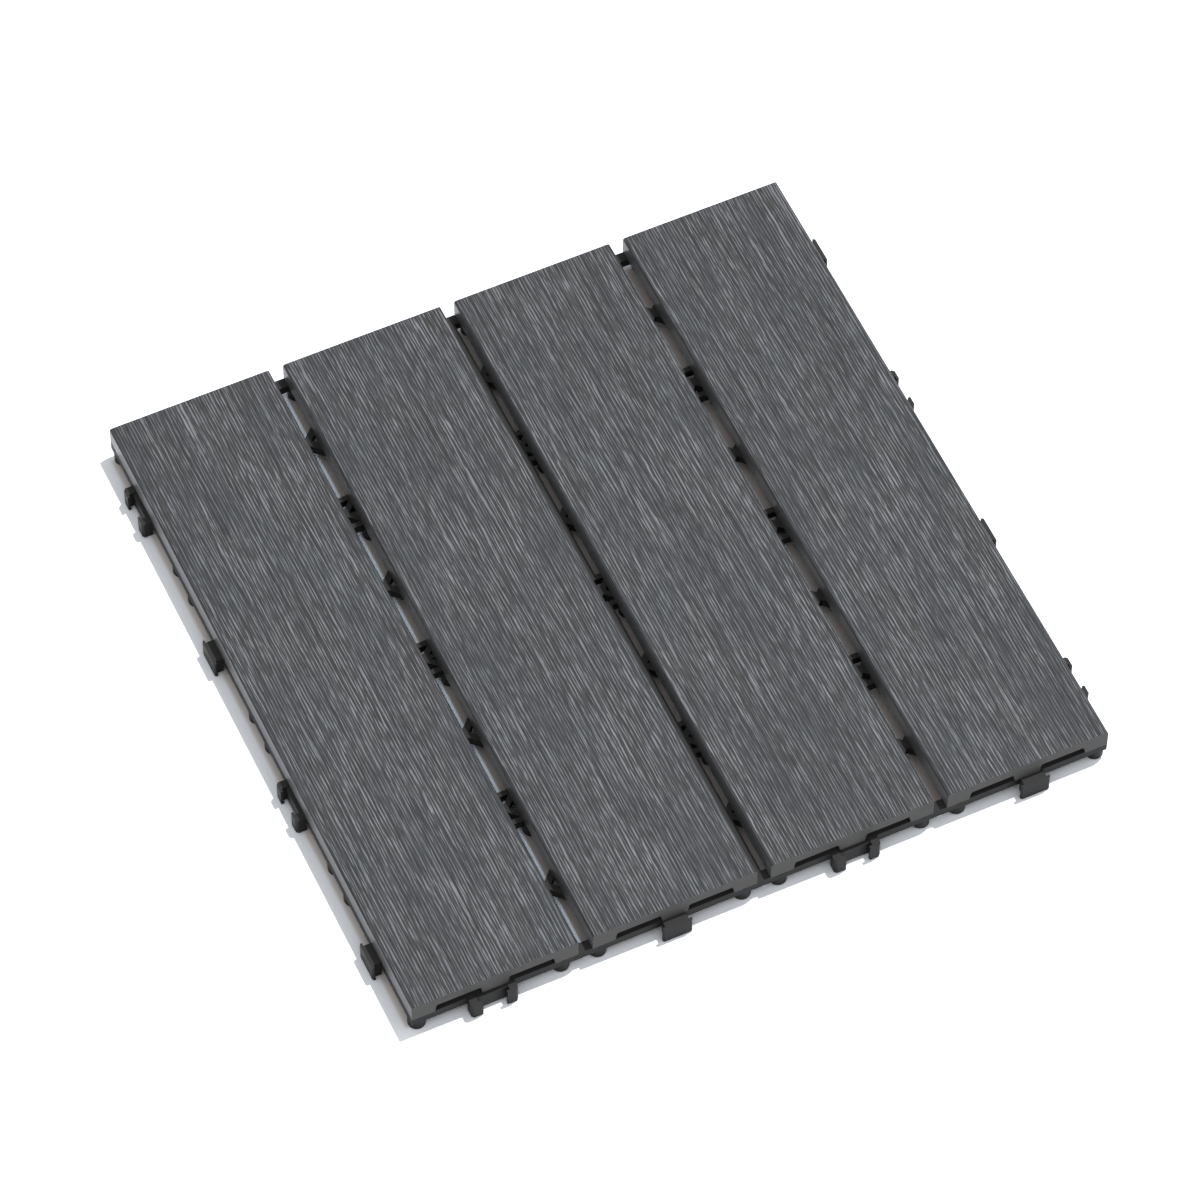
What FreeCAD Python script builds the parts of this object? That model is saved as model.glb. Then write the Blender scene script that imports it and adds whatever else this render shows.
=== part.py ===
import FreeCAD, Part
import os
import Sketcher

# Interlocking deck tile. Four grooved composite slats lie side by side on one moulded
# base grid and are screwed to it from below. Hooks and forks along the edges of the grid
# clip neighbouring tiles together, and round feet hold it clear of the ground.
#
# X runs across the slats, Y along them and Z up. The origin is the middle of the tile on
# the ground that the feet stand on. Lengths are millimetres.

SLATS = 4
NODES = (-1, 0, 1)
SCREW_ROWS = 3
SIDES = 4
LINKS_OF_A_KIND = 2

SIZES = {
    # The tile as a whole
    "tile_side": 300.0,        # length of a slat and of the square that the tile fills
    "field_inset": 0.4,        # outer slats to the edge of that square
    "base_inset": 0.3,         # base grid to the edge of that square
    "slat_gap": 6.0,           # drainage gap between two slats
    # Section of a slat
    "slat_thickness": 8.8,
    "edge_round": 1.2,         # radius along both top edges
    "side_leg": 9.7,           # foot of the section under each edge
    "centre_leg": 10.8,        # foot in the middle, which takes the screws
    "groove_depth": 4.2,
    "groove_draft": 0.7,       # how far each groove wall leans inwards
    "groove_round": 0.8,       # radius in the groove's upper corners
    # Lattice of the base grid
    "grid_height": 4.0,        # depth of rim and ribs
    "rim_width": 4.4,          # flat border seen between the slat ends
    "rim_wall": 1.4,           # the two walls under that border
    "rim_roof": 1.6,           # thickness of the border over its channel
    "node_overrun": 5.4,       # where the next line of nodes would lie outside the edge
    "rail_width": 2.3,
    "rail_offset": 6.9,        # rail to the line of nodes that it runs beside
    "brace_width": 2.4,        # bars of the cross inside each node
    "diagonal_width": 2.8,
    "spine_width": 1.8,        # middle rib from the central node to each side
    # Feet
    "foot_height": 5.0,
    "foot_radius": 3.65,
    "foot_pair": 15.67,        # between the two feet of a node
    "foot_chamfer": 0.5,
    "foot_proud": 0.1,         # how far the outer feet bulge out of the rim
    "foot_drop": 1.0,          # top of a foot's post below the slats
    # Hooks and forks
    "link_reach": 4.4,         # how far they stand out from the rim
    "link_lip": 1.1,           # thickness of their lips
    "link_lift": 0.35,         # their lower ends to the ground
    "link_side_play": 0.25,    # hook to fork on either side
    "link_play": 0.1,          # hook to fork along its travel
    "link_bead": 0.3,          # how far the snap bead stands out of a lip
    "bead_radius": 0.55,
    "link_corner": 0.9,        # cut on the outer corners of the forks
    "hook_neck": 9.8,
    "hook_lip": 12.6,
    "prong_wall": 3.4,
    "bridge_drop": 0.6,        # top of the fork's bridge below the border
    "bridge_lift": 0.8,        # its foot above the foot of the prongs
    # Screws and their bosses
    "boss_radius": 5.0,
    "screw_radius": 1.75,
    "screw_head": 3.4,         # radius of the countersunk head
    "head_land": 0.3,          # straight edge of the head
    "head_recess": 0.2,        # head below the face of its boss
    "head_play": 0.15,
    "screw_bite": 6.0,         # length inside the slat
    "screw_point": 2.0,
    "screw_play": 0.1,         # screw to its pilot hole
    "shank_play": 0.25,        # screw to the hole in the boss
    "drive_length": 3.6,       # cross recess in the head
    "drive_width": 0.8,
    "drive_depth": 1.0,
}

# Places worked out from the sizes
HALF_BASE = "(sizes.tile_side / 2 - sizes.base_inset)"
MODULE = f"(({HALF_BASE} + sizes.node_overrun) / 2)"
BASE_TOP = "(sizes.foot_height + sizes.grid_height)"
SLAT_WIDTH = (f"((sizes.tile_side - 2 * sizes.field_inset - {SLATS - 1} * sizes.slat_gap)"
              f" / {SLATS})")
SLAT_PITCH = f"({SLAT_WIDTH} + sizes.slat_gap)"
FIRST_SLAT = f"(-{(SLATS - 1) / 2} * {SLAT_PITCH})"
RIM_INNER = f"({HALF_BASE} - sizes.rim_width)"
RIM_FACE = f"(-{HALF_BASE})"
LINK_FRONT = f"(-{HALF_BASE} - sizes.link_reach)"
LIP_BACK = f"({LINK_FRONT} + sizes.link_lip)"
LINK_HEIGHT = f"({BASE_TOP} - sizes.link_lift)"
LIP_POCKET = "(sizes.link_lip + 2 * sizes.link_bead + sizes.link_play)"
BRIDGE_FRONT = f"({LIP_BACK} + {LIP_POCKET})"
PRONG_INNER = "(sizes.hook_lip / 2 + sizes.link_side_play)"
THROAT = "(sizes.hook_neck / 2 + sizes.link_side_play)"
PRONG_OUTER = f"({PRONG_INNER} + sizes.prong_wall)"
FIRST_HOOK = f"(-{MODULE} / 2)"
FIRST_FORK = f"(-3 * {MODULE} / 2)"
HEAD_FACE = "(sizes.foot_height + sizes.head_recess)"
CONE_START = f"({HEAD_FACE} + sizes.head_land)"


def size_sheet(doc):
    """Spreadsheet that holds every driving size under its own name."""
    sheet = doc.addObject("Spreadsheet::Sheet", "sizes")
    for line, (alias, value) in enumerate(SIZES.items(), start=1):
        sheet.set(f"A{line}", alias)
        sheet.set(f"B{line}", str(value))
        sheet.setAlias(f"B{line}", alias)
    doc.recompute()


def new_body(doc, name):
    body = doc.addObject("PartDesign::Body", name)
    body.Label = name
    body.AllowCompound = True
    return body


def origin_feature(body, role):
    """One of the body's own planes or axes, such as XY_Plane or Z_Axis."""
    return next(item for item in body.Origin.OriginFeatures if item.Role == role)


def sketch_on(body, name, plane, **offset):
    """Sketch on a plane of the body, moved by an expression along its x, y or z."""
    sketch = body.newObject("Sketcher::SketchObject", name)
    sketch.AttachmentSupport = [(origin_feature(body, plane), "")]
    sketch.MapMode = "FlatFace"
    for axis, expression in offset.items():
        sketch.setExpression(f"AttachmentOffset.Base.{axis}", expression)
    return sketch


def at(sketch, x, y):
    """Point of a sketch at two expressions."""
    return FreeCAD.Vector(
        float(sketch.evalExpression(x)), float(sketch.evalExpression(y)), 0)


def pin_points(sketch, points):
    """Hold each (curve, end, x, y) at its expressions from the sketch's origin."""
    rules = []
    expressions = []
    for curve, end, x, y in points:
        spot = at(sketch, x, y)
        rules.append(Sketcher.Constraint("DistanceX", -1, 1, curve, end, spot.x))
        rules.append(Sketcher.Constraint("DistanceY", -1, 1, curve, end, spot.y))
        expressions += [x, y]
    first = sketch.ConstraintCount
    sketch.addConstraint(rules)
    for number, expression in enumerate(expressions, start=first):
        sketch.setExpression(f"Constraints[{number}]", expression)


def outline(sketch, corners):
    """Closed run of straight lines through corners given as expressions."""
    spots = [at(sketch, x, y) for x, y in corners]
    first = sketch.GeometryCount
    sketch.addGeometry([Part.LineSegment(start, end)
                        for start, end in zip(spots, spots[1:] + spots[:1])])
    lines = range(first, first + len(corners))
    sketch.addConstraint([
        Sketcher.Constraint("Coincident", line, 2, following, 1)
        for line, following in zip(lines, [*lines[1:], lines[0]])])
    pin_points(sketch, [(line, 1, x, y) for line, (x, y) in zip(lines, corners)])


def circles(sketch, radius, places):
    """Circles of one radius at places given as expressions."""
    size = float(sketch.evalExpression(radius))
    first = sketch.GeometryCount
    sketch.addGeometry([Part.Circle(at(sketch, x, y), FreeCAD.Vector(0, 0, 1), size)
                        for x, y in places])
    curves = range(first, first + len(places))
    bound = sketch.ConstraintCount
    sketch.addConstraint(
        [Sketcher.Constraint("Radius", first, size)]
        + [Sketcher.Constraint("Equal", first, curve) for curve in curves[1:]])
    sketch.setExpression(f"Constraints[{bound}]", radius)
    pin_points(sketch, [(curve, 3, x, y) for curve, (x, y) in zip(curves, places)])


def box_outline(sketch, left, right, front, back):
    outline(sketch, [(left, front), (right, front), (right, back), (left, back)])


def square_outline(sketch, half):
    box_outline(sketch, f"-{half}", half, f"-{half}", half)


def pad(body, sketch, length, symmetric=False):
    feature = body.newObject("PartDesign::Pad", sketch.Name + "_pad")
    feature.Profile = sketch
    feature.setExpression("Length", length)
    if symmetric:
        feature.SideType = "Symmetric"
    body.Document.recompute()
    return feature


def pocket(body, sketch, length):
    """Cut a sketch upwards into the body and make sure that material really went."""
    before = body.Shape.Volume
    feature = body.newObject("PartDesign::Pocket", sketch.Name + "_pocket")
    feature.Profile = sketch
    feature.setExpression("Length", length)
    feature.Reversed = True
    body.Document.recompute()
    if body.Shape.Volume >= before:
        raise RuntimeError(f"{feature.Name} removes nothing")
    return feature


def revolve(body, sketch):
    feature = body.newObject("PartDesign::Revolution", sketch.Name + "_turn")
    feature.Profile = sketch
    feature.ReferenceAxis = (sketch, ["V_Axis"])
    feature.Angle = 360
    body.Document.recompute()
    return feature


def row(body, name, axis, length, count):
    """Copies spread evenly over a length along one axis of the body."""
    feature = body.newObject("PartDesign::LinearPattern", name)
    feature.Direction = (origin_feature(body, axis), [""])
    feature.setExpression("Length", length)
    feature.Occurrences = count
    return feature


def all_round(body, name):
    """Copies turned about the middle of the tile, one for each side."""
    feature = body.newObject("PartDesign::PolarPattern", name)
    feature.Axis = (origin_feature(body, "Z_Axis"), [""])
    feature.Angle = 360
    feature.Occurrences = SIDES
    return feature


def repeat(body, name, originals, steps):
    """Repeat features by each step of (maker, sizes...) in turn."""
    pattern = body.newObject("PartDesign::MultiTransform", name)
    pattern.Originals = originals
    pattern.Transformations = [
        maker(body, f"{name}_{number}", *sizes)
        for number, (maker, *sizes) in enumerate(steps, start=1)]
    body.Tip = pattern
    body.Document.recompute()


def edges_at(shape, wanted):
    """Names of the edges of a shape whose middle passes a test."""
    return [f"Edge{number}" for number, edge in enumerate(shape.Edges, start=1)
            if wanted(edge.CenterOfMass)]


def dress_edges(body, kind, size_name, expression, edges):
    """Chamfer or fillet on named edges of the body's last feature."""
    base = body.Tip
    feature = body.newObject(f"PartDesign::{kind}", f"{body.Name}_{kind.lower()}")
    feature.Base = (base, edges)
    feature.setExpression(size_name, expression)
    body.Document.recompute()


ALONG_SIDE = (row, "X_Axis", f"2 * {MODULE}", LINKS_OF_A_KIND)
SCREW_COLUMN = (row, "Y_Axis", f"2 * {MODULE}", SCREW_ROWS)
SCREW_GRID = [(row, "X_Axis", f"{SLATS - 1} * {SLAT_PITCH}", SLATS), SCREW_COLUMN]


def draw_rails(sketch):
    """A rail on both sides of each line of nodes, from rim to rim."""
    half = "sizes.rail_width / 2"
    for node in NODES:
        for side in (-1, 1):
            middle = f"{node} * {MODULE} + {side} * sizes.rail_offset"
            box_outline(sketch, f"{middle} - {half}", f"{middle} + {half}",
                        f"-{RIM_INNER}", RIM_INNER)


def draw_diagonals(sketch):
    """Ribs at 45 degrees, which cross the other set half way between the nodes."""
    slope = "sizes.diagonal_width / sqrt(2)"
    for odd in (1, 3, 5, 7):
        rise = f"{odd} * {MODULE} / 2"
        rib = [(f"-{RIM_INNER}", f"{rise} - {slope} - {RIM_INNER}"),
               (f"{RIM_INNER} - {rise} + {slope}", RIM_INNER),
               (f"{RIM_INNER} - {rise} - {slope}", RIM_INNER),
               (f"-{RIM_INNER}", f"{rise} + {slope} - {RIM_INNER}")]
        outline(sketch, rib)
        outline(sketch, [(f"-({x})", f"-({y})") for x, y in rib])


def draw_braces(sketch):
    """One bar of the cross inside the square of rails at each node."""
    half = "sizes.brace_width / sqrt(8)"
    reach = "sizes.rail_offset"
    for column in NODES:
        for line in NODES:
            x = f"{column} * {MODULE}"
            y = f"{line} * {MODULE}"
            outline(sketch, [
                (f"{x} - {reach} - {half}", f"{y} - {reach} + {half}"),
                (f"{x} - {reach} + {half}", f"{y} - {reach} - {half}"),
                (f"{x} + {reach} + {half}", f"{y} + {reach} - {half}"),
                (f"{x} + {reach} - {half}", f"{y} + {reach} + {half}")])


def draw_spines(sketch):
    """Middle rib from the central node out to two opposite sides."""
    half = "sizes.spine_width / 2"
    box_outline(sketch, f"-{half}", half, "sizes.rail_offset", RIM_INNER)
    box_outline(sketch, f"-{half}", half, f"-{RIM_INNER}", "-sizes.rail_offset")


def draw_boss_seats(sketch):
    """Round clearings in the ribs that the screw bosses fill."""
    circles(sketch, "sizes.boss_radius",
            [(f"{FIRST_SLAT} + {slat} * {SLAT_PITCH}", f"{node} * {MODULE}")
             for slat in range(SLATS) for node in NODES])


def flat_face(doc, name, draw, turn=0):
    """Face drawn in plan at the height of the ribs' lower edge."""
    sketch = doc.addObject("Sketcher::SketchObject", f"{name}_plan")
    sketch.Placement = FreeCAD.Placement(
        FreeCAD.Vector(), FreeCAD.Rotation(FreeCAD.Vector(0, 0, 1), turn))
    sketch.setExpression("Placement.Base.z", "sizes.foot_height")
    draw(sketch)
    face = doc.addObject("Part::Face", name)
    face.Sources = [sketch]
    face.FaceMakerClass = "Part::FaceMakerBullseye"
    return face


def raised(doc, name, flat, height):
    """Flat shape drawn up into a solid."""
    solid = doc.addObject("Part::Extrusion", name)
    solid.Base = flat
    solid.DirMode = "Custom"
    solid.Dir = FreeCAD.Vector(0, 0, 1)
    solid.setExpression("LengthFwd", height)
    solid.Solid = True
    return solid


def one_face(doc, name, flats, clearings):
    """Overlapping faces merged into a single face without inner edges, less clearings."""
    doc.recompute()
    loose = [face for flat in flats for face in flat.Shape.Faces]
    whole = loose[0].multiFuse(loose[1:]).removeSplitter()
    merged = doc.addObject("Part::Feature", name)
    merged.Shape = whole.cut(clearings.Shape)
    return merged


def lattice(doc):
    """Rails, ribs and braces inside the rim: one plan, raised in one go."""
    ribs = []
    for name, draw in (("rails", draw_rails), ("diagonals", draw_diagonals),
                       ("braces", draw_braces), ("spines", draw_spines)):
        ribs.append(flat_face(doc, name, draw))
        ribs.append(flat_face(doc, f"{name}_across", draw, turn=90))
    seats = flat_face(doc, "boss_seats", draw_boss_seats)
    plan = one_face(doc, "lattice_plan", ribs, seats)
    return raised(doc, "lattice", plan, "sizes.grid_height")


def rim(doc):
    """Border all round: a flat roof on two walls, open below."""
    body = new_body(doc, "rim")
    ring = sketch_on(body, "rim_plan", "XY_Plane", z="sizes.foot_height")
    square_outline(ring, HALF_BASE)
    square_outline(ring, RIM_INNER)
    pad(body, ring, "sizes.grid_height")
    channel = sketch_on(body, "channel_plan", "XY_Plane", z="sizes.foot_height")
    square_outline(channel, f"({HALF_BASE} - sizes.rim_wall)")
    square_outline(channel, f"({RIM_INNER} + sizes.rim_wall)")
    pocket(body, channel, "sizes.grid_height - sizes.rim_roof")
    return body


def bosses(doc):
    """Round bosses under the middle of each slat, with a countersunk hole each."""
    body = new_body(doc, "bosses")
    profile = sketch_on(body, "boss_profile", "XZ_Plane", x=FIRST_SLAT, z=MODULE)
    bore = "(sizes.screw_head + sizes.head_play)"
    shank = "(sizes.screw_radius + sizes.shank_play)"
    outline(profile, [
        (shank, BASE_TOP),
        ("sizes.boss_radius", BASE_TOP),
        ("sizes.boss_radius", "sizes.foot_height"),
        (bore, "sizes.foot_height"),
        (bore, f"{CONE_START} - sizes.head_play"),
        (shank, f"{CONE_START} + sizes.screw_head - {shank}")])
    repeat(body, "all_bosses", [revolve(body, profile)], SCREW_GRID)
    return body


def feet(doc):
    """Round feet at the corners of every node and along the rim."""
    body = new_body(doc, "feet")
    sketch = sketch_on(body, "foot_circles", "XY_Plane")
    lines = ["sizes.foot_pair / 2",
             f"{MODULE} - sizes.foot_pair / 2",
             f"{MODULE} + sizes.foot_pair / 2",
             f"{HALF_BASE} + sizes.foot_proud - sizes.foot_radius"]
    circles(sketch, "sizes.foot_radius", [(x, y) for x in lines for y in lines])
    posts = pad(body, sketch, f"{BASE_TOP} - sizes.foot_drop")
    repeat(body, "all_feet", [posts], [(all_round,)])
    soles = edges_at(body.Shape, lambda middle: middle.z < SIZES["foot_chamfer"])
    dress_edges(body, "Chamfer", "Size", "sizes.foot_chamfer", soles)
    return body


def add_bead(body, name, start, length):
    """Rounded snap bead at the foot of a lip, on the side that faces the rim."""
    sketch = sketch_on(body, name, "YZ_Plane", z=start)
    centre = (f"{LIP_BACK} + sizes.link_bead - sizes.bead_radius",
              "sizes.link_lift + sizes.bead_radius")
    circles(sketch, "sizes.bead_radius", [centre])
    return pad(body, sketch, length)


def hooks(doc):
    """Hooks: a neck out of the rim that ends in a wider lip, two on each side."""
    body = new_body(doc, "hooks")
    neck = "sizes.hook_neck / 2"
    lip = "sizes.hook_lip / 2"
    corner = "sizes.link_lip / 2"
    right = [(neck, RIM_FACE), (neck, LIP_BACK), (lip, LIP_BACK),
             (lip, f"{LINK_FRONT} + {corner}"), (f"{lip} - {corner}", LINK_FRONT)]
    sketch = sketch_on(body, "hook_outline", "XY_Plane", z="sizes.link_lift")
    outline(sketch, [(f"{FIRST_HOOK} - ({x})", y) for x, y in right]
            + [(f"{FIRST_HOOK} + {x}", y) for x, y in reversed(right)])
    hook = pad(body, sketch, LINK_HEIGHT)
    bead = add_bead(body, "hook_bead", f"{FIRST_HOOK} - {lip}", "sizes.hook_lip")
    repeat(body, "all_hooks", [hook, bead], [ALONG_SIDE, (all_round,)])
    return body


def forks(doc):
    """Forks: two prongs with inward lips, joined by a bridge, two on each side."""
    body = new_body(doc, "forks")
    bridge = sketch_on(body, "bridge", "XY_Plane", z="sizes.link_lift + sizes.bridge_lift")
    box_outline(bridge, f"{FIRST_FORK} - {PRONG_OUTER}", f"{FIRST_FORK} + {PRONG_OUTER}",
                BRIDGE_FRONT, RIM_FACE)
    wall = pad(body, bridge, f"{LINK_HEIGHT} - sizes.bridge_lift - sizes.bridge_drop")
    prongs = sketch_on(body, "prongs", "XY_Plane", z="sizes.link_lift")
    corner = "sizes.link_corner"
    prong = [(PRONG_OUTER, RIM_FACE), (PRONG_OUTER, f"{LINK_FRONT} + {corner}"),
             (f"{PRONG_OUTER} - {corner}", LINK_FRONT), (THROAT, LINK_FRONT),
             (THROAT, LIP_BACK), (PRONG_INNER, LIP_BACK), (PRONG_INNER, RIM_FACE)]
    outline(prongs, [(f"{FIRST_FORK} - ({x})", y) for x, y in prong])
    outline(prongs, [(f"{FIRST_FORK} + {x}", y) for x, y in prong])
    pair = pad(body, prongs, LINK_HEIGHT)
    beads = [add_bead(body, f"bead_{side}", f"{FIRST_FORK} {start}",
                      f"{PRONG_INNER} - {THROAT}")
             for side, start in (("left", f"- {PRONG_INNER}"), ("right", f"+ {THROAT}"))]
    repeat(body, "all_forks", [wall, pair, *beads], [ALONG_SIDE, (all_round,)])
    return body


def base_grid(doc):
    """The moulded base, one piece."""
    base = doc.addObject("Part::MultiFuse", "base_grid")
    base.Label = "base_grid"
    base.Shapes = [lattice(doc), rim(doc), bosses(doc), feet(doc), hooks(doc), forks(doc)]
    base.Refine = False
    return base


def slat(doc, number):
    """One slat: a board with rounded shoulders, hollowed from below by two grooves."""
    body = new_body(doc, f"slat_{number}")
    section = sketch_on(body, "section", "XZ_Plane")
    half = f"({SLAT_WIDTH} / 2)"
    outer = f"({half} - sizes.side_leg)"
    inner = "(sizes.centre_leg / 2)"
    right = [(half, "sizes.slat_thickness"), (half, "0"), (outer, "0"),
             (f"{outer} - sizes.groove_draft", "sizes.groove_depth"),
             (f"{inner} + sizes.groove_draft", "sizes.groove_depth"), (inner, "0")]
    outline(section, right + [(f"-({x})", z) for x, z in reversed(right)])
    pad(body, section, "sizes.tile_side", symmetric=True)

    near = 0.01
    board = body.Shape.BoundBox
    shoulders = edges_at(body.Shape, lambda middle: middle.z > board.ZMax - near
                         and abs(middle.x) > board.XMax - near)
    dress_edges(body, "Fillet", "Radius", "sizes.edge_round", shoulders)
    depth = SIZES["groove_depth"]
    hollows = edges_at(body.Shape, lambda middle: abs(middle.z - depth) < near
                       and abs(middle.y) < near)
    dress_edges(body, "Fillet", "Radius", "sizes.groove_round", hollows)

    pilot = sketch_on(body, "pilot_hole", "XY_Plane")
    circles(pilot, "sizes.screw_radius + sizes.screw_play", [("0", f"-{MODULE}")])
    hole = pocket(body, pilot, "sizes.screw_bite + sizes.screw_point / 2")
    repeat(body, "all_pilot_holes", [hole], [SCREW_COLUMN])
    body.setExpression("Placement.Base.x", f"{FIRST_SLAT} + {number - 1} * {SLAT_PITCH}")
    body.setExpression("Placement.Base.z", BASE_TOP)
    return body


def screws(doc):
    """Countersunk screws from below, one row of them in the middle of each slat."""
    body = new_body(doc, "screws")
    profile = sketch_on(body, "screw_profile", "XZ_Plane", x=FIRST_SLAT, z=MODULE)
    tip = f"({BASE_TOP} + sizes.screw_bite)"
    outline(profile, [
        ("0", HEAD_FACE),
        ("sizes.screw_head", HEAD_FACE),
        ("sizes.screw_head", CONE_START),
        ("sizes.screw_radius", f"{CONE_START} + sizes.screw_head - sizes.screw_radius"),
        ("sizes.screw_radius", f"{tip} - sizes.screw_point"),
        ("0", tip)])
    screw = revolve(body, profile)
    drive = sketch_on(body, "drive", "XY_Plane", x=FIRST_SLAT, y=f"-{MODULE}", z=HEAD_FACE)
    end = "sizes.drive_length / 2"
    half = "sizes.drive_width / 2"
    corner = [(end, half), (half, half), (half, end)]
    outline(drive, corner + [(f"-{x}", y) for x, y in reversed(corner)]
            + [(f"-{x}", f"-{y}") for x, y in corner]
            + [(x, f"-{y}") for x, y in reversed(corner)])
    recess = pocket(body, drive, "sizes.drive_depth")
    repeat(body, "all_screws", [screw, recess], SCREW_GRID)
    return body


def check(doc, pieces):
    """Stop if any feature failed or any piece is empty or broken."""
    for item in doc.Objects:
        if {"Invalid", "Error"} & set(item.State):
            raise RuntimeError(f"{item.Name} failed: {item.State}")
    for piece in pieces:
        if piece.Shape.isNull() or not piece.Shape.isValid():
            raise RuntimeError(f"{piece.Label} is not a sound solid")


def main():
    doc = FreeCAD.newDocument("deck_tile")
    size_sheet(doc)
    slats = [slat(doc, number) for number in range(1, SLATS + 1)]
    pieces = [*slats, screws(doc), base_grid(doc)]
    doc.recompute()
    check(doc, pieces)
    os.makedirs("parts", exist_ok=True)
    for piece in pieces:
        piece.Shape.exportStep(f"parts/{piece.Label}.step")
        box = piece.Shape.BoundBox
        print(f"{piece.Label}: {len(piece.Shape.Solids)} solid, {piece.Shape.Volume:.0f} mm3,"
              f" {box.XLength:.2f} x {box.YLength:.2f} x {box.ZLength:.2f} mm")


main()
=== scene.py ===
# %% [markdown]
# # An interlocking deck tile
#
# The tile is a square of outdoor flooring, 300 mm along each side. Four slats
# of wood-plastic composite lie on a black moulded grid, and short screws hold
# them from below. Snap hooks and forks round the grid's edge join it to the
# next tile. Every part of it is a hard form, moulded, extruded or turned, so
# the solids come ready-made as the frame. This script gives them their
# finishes, lights them and sets up the camera.

import math

import bpy
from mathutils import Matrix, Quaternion, Vector


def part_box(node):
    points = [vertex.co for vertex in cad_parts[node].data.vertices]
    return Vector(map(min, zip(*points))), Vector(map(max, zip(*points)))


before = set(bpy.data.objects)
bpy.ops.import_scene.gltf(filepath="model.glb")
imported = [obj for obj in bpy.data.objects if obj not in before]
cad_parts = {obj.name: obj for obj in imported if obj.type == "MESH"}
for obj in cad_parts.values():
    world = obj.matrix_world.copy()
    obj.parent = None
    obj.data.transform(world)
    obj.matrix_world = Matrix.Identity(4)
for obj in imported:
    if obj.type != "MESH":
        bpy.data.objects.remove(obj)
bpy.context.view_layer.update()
print("frame nodes:", ", ".join(sorted(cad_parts)))

# %% [markdown]
# ## Sizes that the finishes need
#
# One millimetre is the natural unit for grain and pores, while Blender counts
# in metres. A named millimetre keeps every later size readable. The boxes of
# the first two slats tell where a slat ends and how far apart the slats lie.

# %% Millimetres and the slats' places
MM = 0.001
SLATS = ["slat_1", "slat_2", "slat_3", "slat_4"]
slat_low, slat_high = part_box("slat_1")
slat_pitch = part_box("slat_2")[0][0] - slat_low[0]
print("one slat is", [round((b - a) / MM, 1) for a, b in zip(slat_low, slat_high)], "mm")
print("the slats are", round(slat_pitch / MM, 1), "mm apart")

# %% [markdown]
# ## Writing shader maths as plain expressions
#
# A finish is a network of nodes. Placing them one by one hides the idea, so a
# small class wraps a node's output and gives it the usual operators. Then
# 1 - mask or grain * 0.4 + pores * 0.6 adds the Math nodes by itself. Every
# other node comes from a single method, which takes the node's type, its
# settings and the values or links of its sockets.

# %% A wrapped socket and the tree it belongs to


class Signal:
    """A value, vector or colour on its way through a node tree."""

    def __init__(self, tree, socket):
        self.tree = tree
        self.socket = socket

    def maths(self, operation, *values):
        sockets = dict(enumerate(values))
        return self.tree.node("ShaderNodeMath", {"operation": operation}, sockets)

    def __add__(self, other):
        return self.maths("ADD", self, other)

    def __radd__(self, other):
        return self.maths("ADD", other, self)

    def __sub__(self, other):
        return self.maths("SUBTRACT", self, other)

    def __rsub__(self, other):
        return self.maths("SUBTRACT", other, self)

    def __mul__(self, other):
        return self.maths("MULTIPLY", self, other)

    def __rmul__(self, other):
        return self.maths("MULTIPLY", other, self)

    def __abs__(self):
        return self.maths("ABSOLUTE", self)

    def sine(self):
        return self.maths("SINE", self)

    def larger(self, other):
        return self.maths("MAXIMUM", self, other)

    def wrapped(self, length):
        """The distance into the present one of many equal lengths."""
        return self.maths("FLOORED_MODULO", self, length)

    def rises(self, low, high):
        """0 below low, 1 above high, with a smooth step between them."""
        return self.tree.node(
            "ShaderNodeMapRange",
            {"interpolation_type": "SMOOTHSTEP"},
            {"Value": self, "From Min": low, "From Max": high},
        )

    def blend(self, low_colour, high_colour):
        """low_colour where this mask is 0, high_colour where it is 1."""
        return self.tree.node(
            "ShaderNodeMix",
            {"data_type": "RGBA"},
            {0: self, 6: low_colour, 7: high_colour},
            output=2,
        )


class NodeTree:
    """The nodes of one material or of the world."""

    def __init__(self, owner):
        owner.use_nodes = True
        self.tree = owner.node_tree
        self.tree.nodes.clear()

    def node(self, kind, settings=None, sockets=None, output=0):
        made = self.tree.nodes.new(kind)
        for setting, value in (settings or {}).items():
            setattr(made, setting, value)
        for socket, value in (sockets or {}).items():
            if isinstance(value, Signal):
                self.tree.links.new(value.socket, made.inputs[socket])
            else:
                made.inputs[socket].default_value = value
        return Signal(self, made.outputs[output]) if made.outputs else None

    def place(self):
        """Where a point lies on the object, in the object's own axes."""
        return self.node("ShaderNodeTexCoord", output="Object")

    def facing(self, axis):
        """How far a face looks along X, Y or Z, from -1 to 1."""
        return self.part(self.node("ShaderNodeTexCoord", output="Normal"), axis)

    def part(self, vector, axis):
        """The X, Y or Z of a vector."""
        return self.node("ShaderNodeSeparateXYZ", sockets={"Vector": vector}, output=axis)

    def on_show(self):
        """1 on rays from the camera, and on those that gloss or glass pass on."""
        straight, mirrored, passed_on = [
            self.node("ShaderNodeLightPath", output=f"Is {kind} Ray")
            for kind in ("Camera", "Glossy", "Transmission")
        ]
        return straight.larger(mirrored.larger(passed_on))


print("shader helpers ready")

# %% [markdown]
# ## What the finishes share
#
# Nothing here is an image. The patterns are mostly noise, read at the place of
# each point on the object, in object coordinates. Noise that is squeezed
# across the slat and stretched along it turns into fibres, and the two lengths
# of a stretched cell are the fibre's width and length. Each finish ends in the
# same shader, with a relief that is far finer than any modelled edge.

# %% Noise, shader and coat


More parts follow.
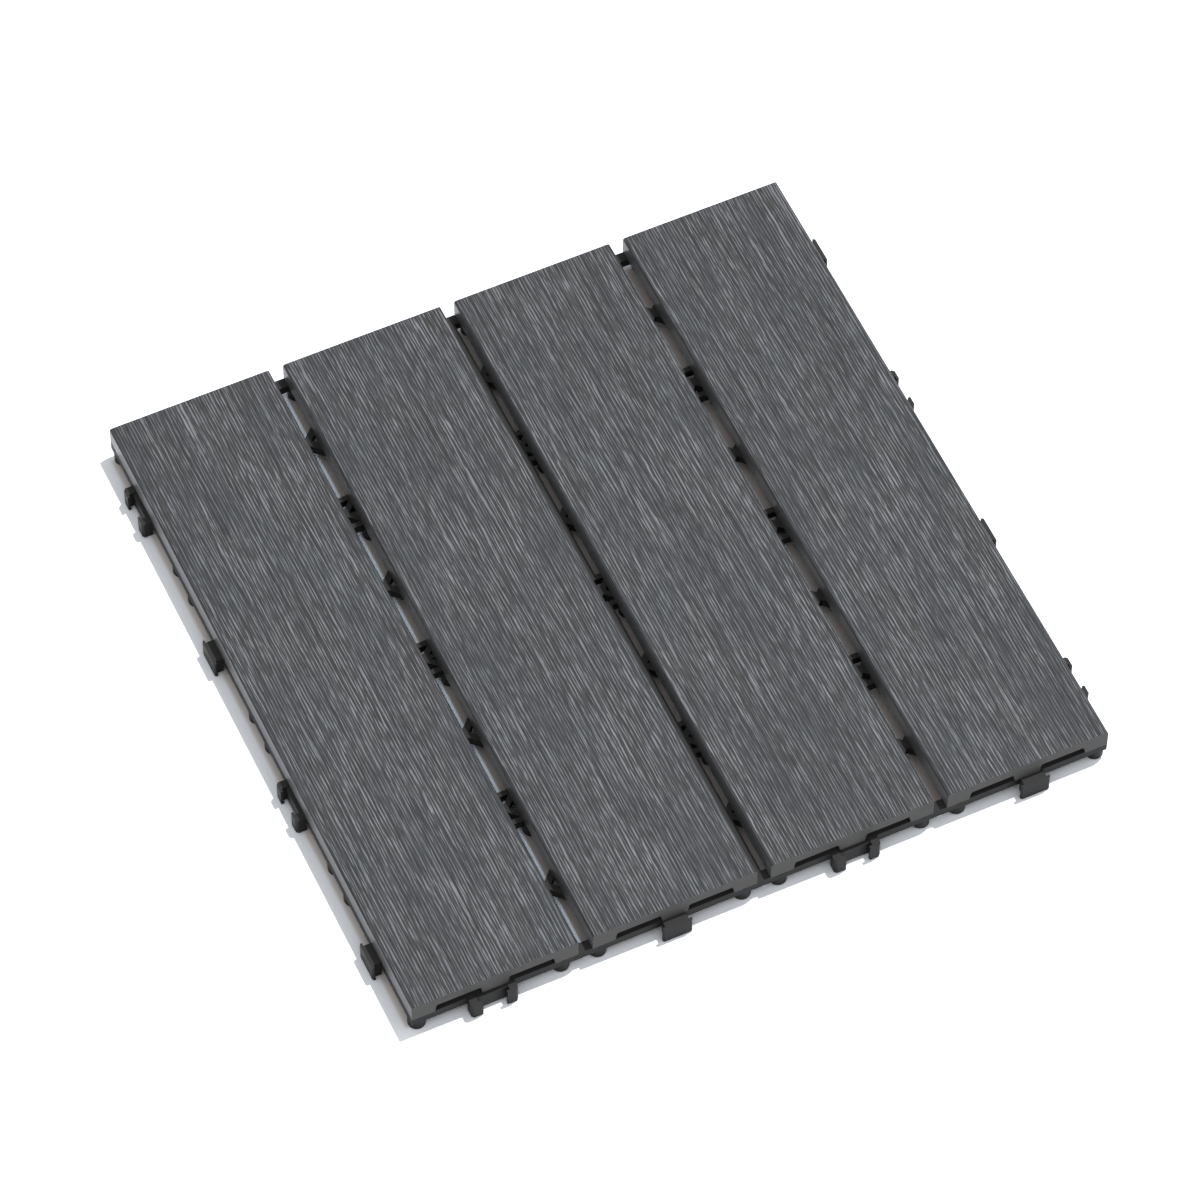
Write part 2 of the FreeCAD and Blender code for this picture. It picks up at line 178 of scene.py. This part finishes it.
def noise(tree, cell, detail=2.0, roughness=0.5):
    """Noise whose cells measure cell = (across, along, up), in metres."""
    squeezed = tree.node(
        "ShaderNodeMapping",
        {"vector_type": "POINT"},
        {"Vector": tree.place(), "Scale": [1 / size for size in cell]},
    )
    return tree.node(
        "ShaderNodeTexNoise",
        sockets={
            "Vector": squeezed,
            "Scale": 1.0,
            "Detail": detail,
            "Roughness": roughness,
        },
    )


def fibres(tree, cell, detail=2.0):
    """Noise whose cells measure cell = (width, length) and run along the slat."""
    width, length = cell
    return noise(tree, (width, length, width), detail)


def surface(tree, base_colour, roughness, height, depth, metallic=0.0, gloss=0.5):
    """The finished shader: its relief is height times depth, in metres."""
    relief = tree.node(
        "ShaderNodeBump", sockets={"Height": height, "Distance": depth, "Strength": 1.0}
    )
    shader = tree.node(
        "ShaderNodeBsdfPrincipled",
        sockets={
            "Base Color": base_colour,
            "Roughness": roughness,
            "Metallic": metallic,
            "Specular IOR Level": gloss,
            "Normal": relief,
        },
    )
    tree.node("ShaderNodeOutputMaterial", sockets={"Surface": shader})


def coat(piece, material):
    """Give the piece this material and no other."""
    piece.data.materials.clear()
    piece.data.materials.append(material)


print("finish helpers ready")

# %% [markdown]
# ## Composite slats
#
# The slats are extruded from wood flour and plastic in a dark grey, and their
# faces are brushed. The brush combs the face: a wandering wave across the slat
# gives furrows at an even pitch, and two layers of fine stretched noise break
# them up into strokes and hairs. Where the three add up to much, a pale
# blue-grey thread shows, and where they add up to little, a dark pore. Long
# groups and wide patches decide how strong the threads are, and a patch is a
# little warmer or cooler than its neighbour.

# %% The brushed face
COMPOSITE_COOL = (0.046, 0.050, 0.056, 1)
COMPOSITE_WARM = (0.056, 0.055, 0.057, 1)
THREAD_PALE = (0.285, 0.301, 0.331, 1)
PORE_DARK = (0.012, 0.013, 0.014, 1)
PORE_COVER = 0.8

HALF = 0.5
COMB_PITCH = 1.3 * MM
COMB_WANDER = 14.0
WANDER_CELL = (1.9 * MM, 55 * MM)
STROKE_CELL = (0.42 * MM, 5 * MM)
HAIR_CELL = (0.26 * MM, 7 * MM)
GROUP_CELL = (6 * MM, 90 * MM)
PATCH_CELL = (15 * MM, 38 * MM)

COMB_SHARE = 0.55
STROKE_SHARE = 0.70
HAIR_SHARE = 0.60
FIBRE_OFFSET = 0.425
THREAD_RANGE = (0.58, 0.88)
PORE_RANGE = (0.45, 0.85)
STRENGTH_RANGE = (0.25, 1.50)
WARM_RANGE = (0.35, 0.65)


def brushed_face(tree):
    """The colour of a brushed face, and its fibre, pore and patch masks."""
    place = tree.place()
    across = (tree.part(place, "X") + tree.part(place, "Z")) * (math.tau / COMB_PITCH)
    wander = fibres(tree, WANDER_CELL) * COMB_WANDER
    comb = (across + wander).sine() * HALF + HALF
    stroke = fibres(tree, STROKE_CELL, detail=1.0)
    hair = fibres(tree, HAIR_CELL, detail=0.0)
    group = fibres(tree, GROUP_CELL)
    patch = fibres(tree, PATCH_CELL)

    fibre = comb * COMB_SHARE + stroke * STROKE_SHARE + hair * HAIR_SHARE - FIBRE_OFFSET
    pale = fibre.rises(*THREAD_RANGE) * (group + patch).rises(*STRENGTH_RANGE)
    pore = (1 - fibre).rises(*PORE_RANGE)
    body = patch.rises(*WARM_RANGE).blend(COMPOSITE_COOL, COMPOSITE_WARM)
    colour = pale.blend((pore * PORE_COVER).blend(body, PORE_DARK), THREAD_PALE)
    return colour, fibre, pore, patch


print("furrows every", COMB_PITCH / MM, "mm")

# %% [markdown]
# The brush doesn't reach everywhere. The long rounded edges carry painted shade,
# and the sides below them keep the smooth, paler skin of the extruder's die.
# The sawn ends show no threads, only the even grey of the cut mix with small
# specks. The direction in which a face looks tells all of these apart.

# %% Edge, skin and sawn end
# the colour of the painted shade on the long rounded edges
EDGE_PAINTED_SHADE = (0.020, 0.021, 0.022, 1)
SKIN_GREY = (0.155, 0.157, 0.162, 1)
SAWN_GREY = (0.078, 0.0765, 0.075, 1)
SAWN_SPECK = (0.056, 0.0545, 0.0535, 1)
SPECK_CELL = (0.7 * MM, 0.7 * MM, 0.7 * MM)
SPECK_DETAIL = 3.0
SPECK_CRISPNESS = 0.7
SPECK_RANGE = (0.52, 0.70)

SAWN_FACING = (0.70, 0.90)
EDGE_FACING = (0.10, 0.35)
SKIN_FACING = (0.80, 0.98)
EDGE_COVER = 0.7
SKIN_COVER = 0.92
SPECK_COVER = 0.6

COMPOSITE_ROUGHNESS = 0.40
PATCH_ROUGHER = 0.10
PORE_ROUGHER = 0.15
SAWN_ROUGHER = 0.15
SKIN_SMOOTHER = 0.16
COMPOSITE_GLOSS = 0.35
BRUSH_RELIEF = 0.10 * MM
SKIN_FLATNESS = 0.8
SPECK_RELIEF = 0.3


def composite_material():
    material = bpy.data.materials.new("brushed_composite")
    tree = NodeTree(material)
    brushed, fibre, pore, patch = brushed_face(tree)
    sawn = abs(tree.facing("Y")).rises(*SAWN_FACING)
    shaded_edge = abs(tree.facing("X")).rises(*EDGE_FACING)
    skin = abs(tree.facing("X")).rises(*SKIN_FACING)

    speck = noise(tree, SPECK_CELL, SPECK_DETAIL, SPECK_CRISPNESS)
    cut = (speck.rises(*SPECK_RANGE) * SPECK_COVER).blend(SAWN_GREY, SAWN_SPECK)
    # painted shade darkens the long rounded edges
    with_edge_shade = (shaded_edge * EDGE_COVER).blend(sawn.blend(brushed, cut), EDGE_PAINTED_SHADE)
    colour = (skin * SKIN_COVER).blend(with_edge_shade, SKIN_GREY)

    roughness = COMPOSITE_ROUGHNESS + patch * PATCH_ROUGHER + pore * PORE_ROUGHER
    roughness = roughness + sawn * SAWN_ROUGHER - skin * SKIN_SMOOTHER
    height = fibre * (1 - sawn - skin * SKIN_FLATNESS) + speck * sawn * SPECK_RELIEF
    surface(tree, colour, roughness, height, BRUSH_RELIEF, gloss=COMPOSITE_GLOSS)
    return material


composite = composite_material()
for name in SLATS:
    coat(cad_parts[name], composite)
print("composite on", len(SLATS), "slats")

# %% [markdown]
# ## Moulded base
#
# The grid is injection-moulded polypropylene, coloured black and almost matt,
# with the fine spark-eroded texture of the mould on its faces. It gets a very
# dark grey that varies a little with the flow of the melt, a touch paler on
# the level faces, and a tiny even grain as relief.

# %% The base plastic
PLASTIC_BLACK = (0.019, 0.019, 0.0185, 1)
PLASTIC_WORN = (0.036, 0.0355, 0.035, 1)
PLASTIC_LEVEL_PALE = (0.052, 0.051, 0.050, 1)
FLOW_CELL = (24 * MM, 24 * MM, 8 * MM)
FLOW_DETAIL = 3.0
FLOW_RANGE = (0.40, 0.72)
GRAIN_CELL = (0.35 * MM, 0.35 * MM, 0.35 * MM)
FLOW_WEAR = 0.5
GRAIN_WEAR = 0.2
LEVEL_FACING = (0.75, 0.95)
LEVEL_PALENESS = 0.8
PLASTIC_ROUGHNESS = 0.38
FLOW_ROUGHER = 0.14
GRAIN_ROUGHER = 0.06
PLASTIC_GLOSS = 0.10
GRAIN_RELIEF = 0.02 * MM


def plastic_material():
    material = bpy.data.materials.new("moulded_plastic")
    tree = NodeTree(material)
    flow = noise(tree, FLOW_CELL, FLOW_DETAIL)
    grain = noise(tree, GRAIN_CELL)
    worn = flow.rises(*FLOW_RANGE) * FLOW_WEAR + grain * GRAIN_WEAR
    # the level faces are a touch paler
    paler_on_level = tree.facing("Z").rises(*LEVEL_FACING) * LEVEL_PALENESS
    colour = paler_on_level.blend(worn.blend(PLASTIC_BLACK, PLASTIC_WORN), PLASTIC_LEVEL_PALE)
    roughness = PLASTIC_ROUGHNESS + flow * FLOW_ROUGHER + grain * GRAIN_ROUGHER
    surface(tree, colour, roughness, grain, GRAIN_RELIEF, gloss=PLASTIC_GLOSS)
    return material


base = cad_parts["base_grid"]
coat(base, plastic_material())
print("plastic on", base.name)

# %% [markdown]
# ## Screws
#
# The screws that hold the slats are short, countersunk and zinc plated. They
# show from below only. Bright metal with a little uneven roughness is enough.

# %% The screw steel
ZINC_BRIGHT = (0.56, 0.57, 0.58, 1)
ZINC_DULL = (0.38, 0.38, 0.38, 1)
SPANGLE_CELL = (0.9 * MM, 0.9 * MM, 0.9 * MM)
SPANGLE_DETAIL = 3.0
DULL_RANGE = (0.4, 0.7)
ZINC_ROUGHNESS = 0.26
SPANGLE_ROUGHER = 0.2
SPANGLE_RELIEF = 0.01 * MM


def steel_material():
    material = bpy.data.materials.new("zinc_plated_steel")
    tree = NodeTree(material)
    spangle = noise(tree, SPANGLE_CELL, SPANGLE_DETAIL)
    colour = spangle.rises(*DULL_RANGE).blend(ZINC_BRIGHT, ZINC_DULL)
    roughness = ZINC_ROUGHNESS + spangle * SPANGLE_ROUGHER
    surface(tree, colour, roughness, spangle, SPANGLE_RELIEF, metallic=1.0)
    return material


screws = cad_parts["screws"]
coat(screws, steel_material())
print("steel on", screws.name)

# %% [markdown]
# ## Floor
#
# The photograph has a plain white ground with a crisp shadow. The floor is a
# wide flat sheet, a hair below the feet so that they don't share a plane. What
# shows of it, straight or in a glossy face, is lifted until its lit part is
# pure white, while the light that it spreads on the tile stays that of white
# paper. So the grey of the shadow is kept and the tile isn't bleached.
#
# Under the tile the ground gets painted shade, darker and warmer. In a gap it
# has a thin painted line of light a few millimetres from the slat on the left,
# whose smooth side throws the sun down there. The renderer doesn't follow such
# light, so the floor's colour has the line. From below the floor is clear, and
# the underside of the tile can be looked at.

# %% The floor
FLOOR_SIZE = 9.0
FLOOR_GAP = 0.02 * MM
FLOOR_WHITE = (0.86, 0.86, 0.86, 1)
FLOOR_SEEN = (1.50, 1.54, 1.60, 1)
# painted shade on the ground under the tile
FLOOR_PAINTED_SHADE = (1.05, 0.96, 0.90, 1)
FLOOR_GLINT = (2.5, 2.8, 3.15, 1)
COVERED_ASIDE = 150 * MM
COVERED_AHEAD = 146 * MM
COVERED_FADE = 2 * MM
GLINT_STARTS = (3.0 * MM, 3.4 * MM)
GLINT_ENDS = (5.1 * MM, 5.9 * MM)


def shown_floor(tree):
    """The floor's colour to the camera: open, painted shade under the tile, or a painted
    line of light from a slat's side.
    """
    place = tree.place()
    east = tree.part(place, "X")
    north = tree.part(place, "Y")
    beside = abs(east).rises(COVERED_ASIDE, COVERED_ASIDE + COVERED_FADE)
    beyond = abs(north).rises(COVERED_AHEAD, COVERED_AHEAD + COVERED_FADE)
    from_slat = (east - slat_high[0]).wrapped(slat_pitch)
    past_first_slat = east.rises(slat_low[0], slat_high[0])
    inside_line = from_slat.rises(*GLINT_STARTS) * (1 - from_slat.rises(*GLINT_ENDS))
    # painted shade under the tile, with a painted line of light in each gap
    painted_under_tile = (inside_line * past_first_slat).blend(FLOOR_PAINTED_SHADE, FLOOR_GLINT)
    return beside.larger(beyond).blend(painted_under_tile, FLOOR_SEEN)


def floor_material():
    material = bpy.data.materials.new("white_floor")
    tree = NodeTree(material)
    colour = tree.on_show().blend(FLOOR_WHITE, shown_floor(tree))
    paper = tree.node("ShaderNodeBsdfDiffuse", sockets={"Color": colour})
    clear = tree.node("ShaderNodeBsdfTransparent")
    from_below = tree.node("ShaderNodeNewGeometry", output="Backfacing")
    shader = tree.node("ShaderNodeMixShader", sockets={0: from_below, 1: paper, 2: clear})
    tree.node("ShaderNodeOutputMaterial", sockets={"Surface": shader})
    return material


bpy.ops.object.select_all(action="DESELECT")
bpy.ops.mesh.primitive_plane_add(size=FLOOR_SIZE, location=(0, 0, -FLOOR_GAP))
floor = bpy.context.object
floor.name = "floor"
floor.data.materials.append(floor_material())
print("floor is", FLOOR_SIZE, "m wide")

# %% [markdown]
# ## Light
#
# The shadow in the photograph tells where the light stands. It reaches 6.0 mm
# past the left side, thrown by an edge 16.25 mm high, and 1.8 mm past the
# front, thrown by an edge 17.8 mm high. So the lamp is far away, high, to the
# right and a little behind the tile. Its shadow has a sharp edge, which a sun
# lamp with a small disc gives. A white sky fills the shadow. Its light is
# stronger overhead than at the rim, and stronger in front than behind, while
# the sky itself shows as plain white.

# %% Sun and sky
SUN_ASIDE = 6.0 / 16.25
SUN_BEHIND = 1.8 / 17.8
SUN_STRENGTH = 2.0
SUN_DISC = math.radians(1.0)
SUN_AWAY = 2.0
SKY_COLOUR = (0.97, 0.985, 1.0, 1)
SKY_RIM = 0.30
SKY_TOP = 0.60
SKY_FRONT = 0.45

to_sun = Vector((SUN_ASIDE, SUN_BEHIND, 1.0)).normalized()
bpy.ops.object.light_add(type="SUN", location=to_sun * SUN_AWAY)
sun = bpy.context.object
sun.name = "sun"
sun.data.energy = SUN_STRENGTH
sun.data.angle = SUN_DISC
sun.rotation_euler = to_sun.to_track_quat("Z", "Y").to_euler()

world = bpy.data.worlds.new("studio_sky")
bpy.context.scene.world = world
sky = NodeTree(world)
direction = sky.node("ShaderNodeTexCoord", output="Generated")
all_round = sky.part(direction, "Z").rises(0.0, 1.0) * (SKY_TOP - SKY_RIM) + SKY_RIM
lighting = all_round * (1 - sky.part(direction, "Y") * SKY_FRONT)
strength = lighting + sky.on_show() * (1 - lighting)
light = sky.node("ShaderNodeBackground", sockets={"Color": SKY_COLOUR, "Strength": strength})
sky.node("ShaderNodeOutputWorld", sockets={"Surface": light})
print("sun height in degrees:", round(math.degrees(math.asin(to_sun.z)), 1))

# %% [markdown]
# ## Camera
#
# The camera stands in front of the tile, to its left and high above it. It is
# almost three metres away with a long lens, which is why the sides of the
# square look nearly parallel. The values were found by matching the corners
# of the slats, whose sizes are known.

# %% The camera
LOOK_AT = Vector((-4.9 * MM, -9.2 * MM, 17.8 * MM))
CAMERA_AWAY = 2.7317
CAMERA_TURN = math.radians(-114.753)
CAMERA_HEIGHT = math.radians(55.864)
CAMERA_ROLL = math.radians(0.159)
SENSOR = 36.0
LENS = 206.3
SIGHT_ENDS = 50.0

toward_camera = Vector(
    (
        math.cos(CAMERA_HEIGHT) * math.cos(CAMERA_TURN),
        math.cos(CAMERA_HEIGHT) * math.sin(CAMERA_TURN),
        math.sin(CAMERA_HEIGHT),
    )
)
bpy.ops.object.camera_add(location=LOOK_AT + CAMERA_AWAY * toward_camera)
camera = bpy.context.object
camera.name = "camera"
camera.data.sensor_width = SENSOR
camera.data.lens = LENS
camera.data.clip_end = SIGHT_ENDS
level = toward_camera.to_track_quat("Z", "Y")
camera.rotation_euler = (level @ Quaternion((0, 0, 1), -CAMERA_ROLL)).to_euler()
bpy.context.scene.camera = camera
bpy.context.scene.view_settings.view_transform = "Standard"
print("camera at", [round(c, 3) for c in camera.location])
